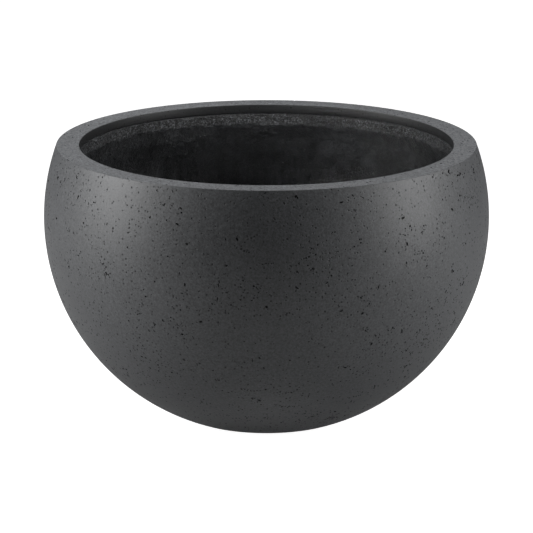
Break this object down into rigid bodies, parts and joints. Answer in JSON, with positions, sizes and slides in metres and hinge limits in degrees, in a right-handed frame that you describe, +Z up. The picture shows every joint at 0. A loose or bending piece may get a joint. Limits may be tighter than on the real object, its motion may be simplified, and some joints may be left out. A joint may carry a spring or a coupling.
{
  "type": "bowl planter",
  "caption": "Round garden planter bowl, a truncated ball with a flat rim and a pitted cement facing over a glass-fibre lining, with a plugged drain hole and rubber feet.",
  "frame": {"origin": "middle of the bowl on the surface that it stands on", "axes": "+Z up along the bowl's axis; X and Y are free, apart from the drain plug's tab, whose width runs along X"},
  "size_m": [0.5999, 0.6, 0.377],
  "materials": {
    "cement_facing": "matt anthracite cement, pitted",
    "rim_filler": "cast filled resin, rough",
    "laminate": "black hand-laid glass-fibre resin, rough and glossy",
    "laminate_patch": "black hand-laid glass-fibre resin",
    "bush_plastic": "black moulded plastic",
    "plug_rubber": "black moulded rubber",
    "foot_rubber": "matt black rubber"
  },
  "bodies": {
    "bowl": {"facing_shell": "cement_facing", "rim_core": "rim_filler", "glassfibre_lining": "laminate", "floor_patch": "laminate_patch", "drain_bush": "bush_plastic", "rubber_foot_1": "foot_rubber", "rubber_foot_2": "foot_rubber", "rubber_foot_3": "foot_rubber", "rubber_foot_4": "foot_rubber"},
    "plug": {"drain_plug": "plug_rubber"}
  },
  "joints": [
    {"name": "plug_lift", "type": "slide", "parent": "bowl", "child": "plug", "axis": [0, 0, 1], "range_m": [0, 0.4]}
  ]
}
